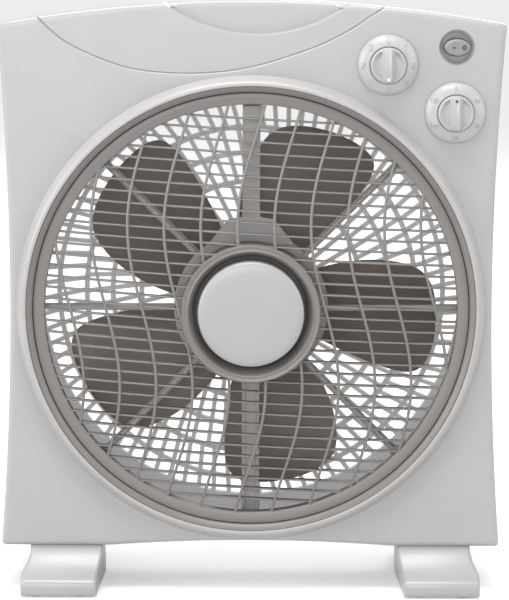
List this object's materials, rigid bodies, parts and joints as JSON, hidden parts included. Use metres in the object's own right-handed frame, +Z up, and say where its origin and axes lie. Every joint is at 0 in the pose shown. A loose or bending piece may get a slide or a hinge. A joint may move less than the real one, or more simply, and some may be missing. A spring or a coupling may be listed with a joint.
{
  "type": "box fan",
  "caption": "Free-standing box fan with a motor-turned louvre grille, blade fan in a duct, speed and timer dials, a rocker switch and two boot-shaped feet.",
  "frame": {"origin": "on the floor under the middle of the feet", "axes": "+Z up; the front, with the dials and the rotary grille, faces -Y; +X to the right as seen from the front"},
  "size_m": [0.371, 0.145, 0.4399],
  "materials": {
    "shell": "fine satin moulded ABS, light warm grey",
    "trim": "satin moulded plastic, mid warm grey",
    "blade": "satin moulded polypropylene, dark brown-grey",
    "cap": "low-gloss moulded ABS, light grey",
    "rocker": "semi-gloss moulded plastic, mid grey",
    "black": "matt black phenolic or nylon",
    "steel": "turned or rolled steel",
    "screw": "zinc-plated steel",
    "casting": "die-cast, bead-blasted",
    "copper": "enamelled copper wire, varnished",
    "bronze": "oil-filled sintered bronze",
    "ceramic": "moulded polyamide, ivory",
    "rubber": "moulded rubber"
  },
  "bodies": {
    "root": {"front_housing": "shell", "rear_housing": "shell", "air_duct": "shell", "grille_bezel": "trim", "front_spider": "trim", "spoke_cable_cover": "trim", "spider_screws": "screw", "grille_motor": "steel", "grille_motor_screws": "screw", "stator_core": "steel", "stator_windings": "copper", "motor_front_bell": "casting", "motor_rear_bell": "casting", "motor_bushes": "bronze", "motor_screws": "screw", "rear_grille": "shell", "rear_grille_screws": "screw", "housing_screws": "screw", "speed_switch": "black", "speed_dial_ring": "cap", "timer_body": "black", "timer_dial_ring": "cap", "rocker_switch_body": "shell", "run_capacitor": "black", "terminal_block": "ceramic", "cord_gland": "rubber", "wiring_harness": "ceramic", "left_foot": "shell", "right_foot": "shell", "foot_pads": "rubber", "foot_screws": "screw"},
    "fan": {"fan_blade": "blade", "spinner_nut": "black", "motor_shaft": "steel", "shaft_pin": "steel", "rotor_core": "steel"},
    "grille": {"rotary_grille": "trim", "hub_cap": "cap", "hub_nut": "screw", "grille_spindle": "steel"},
    "speed_control": {"speed_knob": "cap", "speed_spindle": "steel"},
    "timer_control": {"timer_knob": "cap", "timer_spindle": "steel"},
    "rocker": {"rocker": "rocker"}
  },
  "joints": [
    {"name": "fan_spin", "type": "hinge", "parent": "root", "child": "fan", "pos_m": [0, -0.005, 0.2125], "axis": [0, 1, 0], "continuous": true},
    {"name": "grille_spin", "type": "hinge", "parent": "root", "child": "grille", "pos_m": [0, -0.05, 0.2125], "axis": [0, 1, 0], "continuous": true},
    {"name": "speed_turn", "type": "hinge", "parent": "root", "child": "speed_control", "pos_m": [0.0991, -0.055, 0.3932], "axis": [0, -1, 0], "continuous": true},
    {"name": "timer_turn", "type": "hinge", "parent": "root", "child": "timer_control", "pos_m": [0.1485, -0.055, 0.3585], "axis": [0, 1, 0], "range_deg": [0, 300]},
    {"name": "rocker_tilt", "type": "hinge", "parent": "root", "child": "rocker", "pos_m": [0.1491, -0.0465, 0.406], "axis": [0, 0, 1], "range_deg": [-14, 0]}
  ]
}
